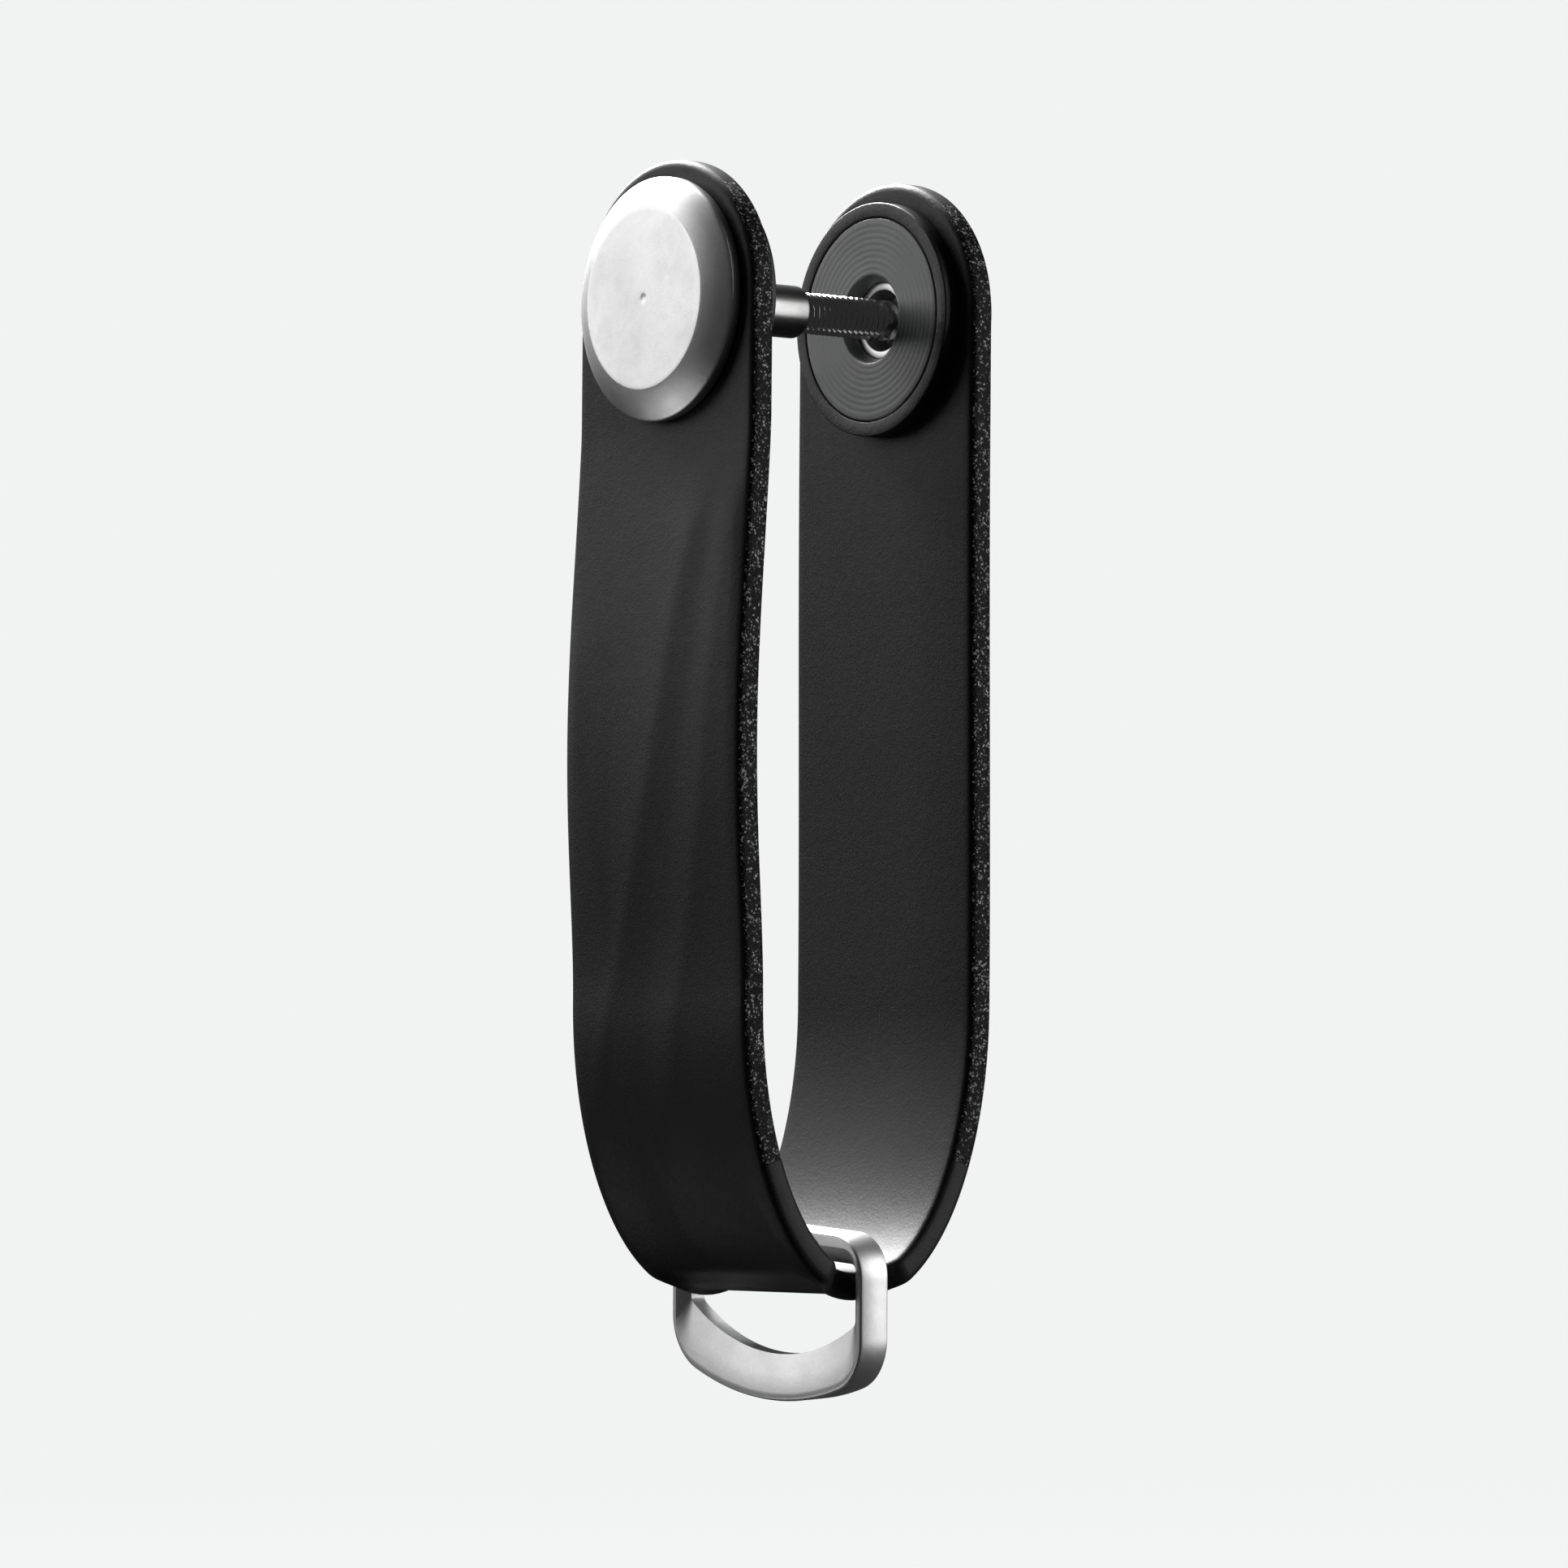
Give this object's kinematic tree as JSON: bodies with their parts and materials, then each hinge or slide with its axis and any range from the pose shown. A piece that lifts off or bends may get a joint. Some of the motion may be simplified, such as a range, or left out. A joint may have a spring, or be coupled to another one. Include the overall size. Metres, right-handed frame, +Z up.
{
  "type": "key organiser",
  "caption": "Pocket key organiser: a bent elastomer strap whose arms are clamped together by a screw post, with a loose D-ring in its bend.",
  "frame": {"origin": "on the screw post's axis, midway between the two arms", "axes": "+X across the strap's width, +Y along the post from the front button to the rear button, +Z up, with the bend and the ring below"},
  "size_m": [0.0219, 0.0262, 0.0881],
  "materials": {
    "strap_elastomer": "matte black, fine spark-eroded grain, coarse grain on the edges",
    "blasted_silver": "bead-blasted satin silver",
    "satin_steel": "satin turned steel",
    "stud_steel": "bright rolled thread",
    "spring_steel": "oiled spring steel",
    "grey_disc": "dark grey satin with turned rings",
    "black_eyelet": "black, grainy moulded nylon",
    "white_acetal": "natural acetal",
    "blue_nylon": "blue nylon locking patch"
  },
  "bodies": {
    "strap": {"strap_band": "strap_elastomer", "rear_eyelet": "black_eyelet", "rear_disc": "grey_disc", "rear_button": "blasted_silver", "rear_stud": "stud_steel", "stud_patch": "blue_nylon"},
    "front_end": {"strap_front_end": "strap_elastomer", "front_eyelet": "black_eyelet", "front_disc": "grey_disc", "front_bush": "white_acetal"},
    "screw_button": {"front_button": "blasted_silver", "front_barrel": "satin_steel", "front_clip": "spring_steel"},
    "ring": {"d_ring": "blasted_silver"}
  },
  "joints": [
    {"name": "arm_close", "type": "slide", "parent": "strap", "child": "front_end", "axis": [0, 1, 0], "range_m": [-0.002, 0.01]},
    {"name": "button_turn", "type": "hinge", "parent": "front_end", "child": "screw_button", "pos_m": [0, -0.0111, 0], "axis": [0, 1, 0], "range_deg": [-1440, 7200]},
    {"name": "ring_swing", "type": "hinge", "parent": "strap", "child": "ring", "pos_m": [0, 0, -0.0665], "axis": [0.9976, 0, -0.0698], "range_deg": [-19, 12]}
  ],
  "couplings": [
    {"joint": "button_turn", "follows": "arm_close", "rad_per_m": 12566}
  ]
}
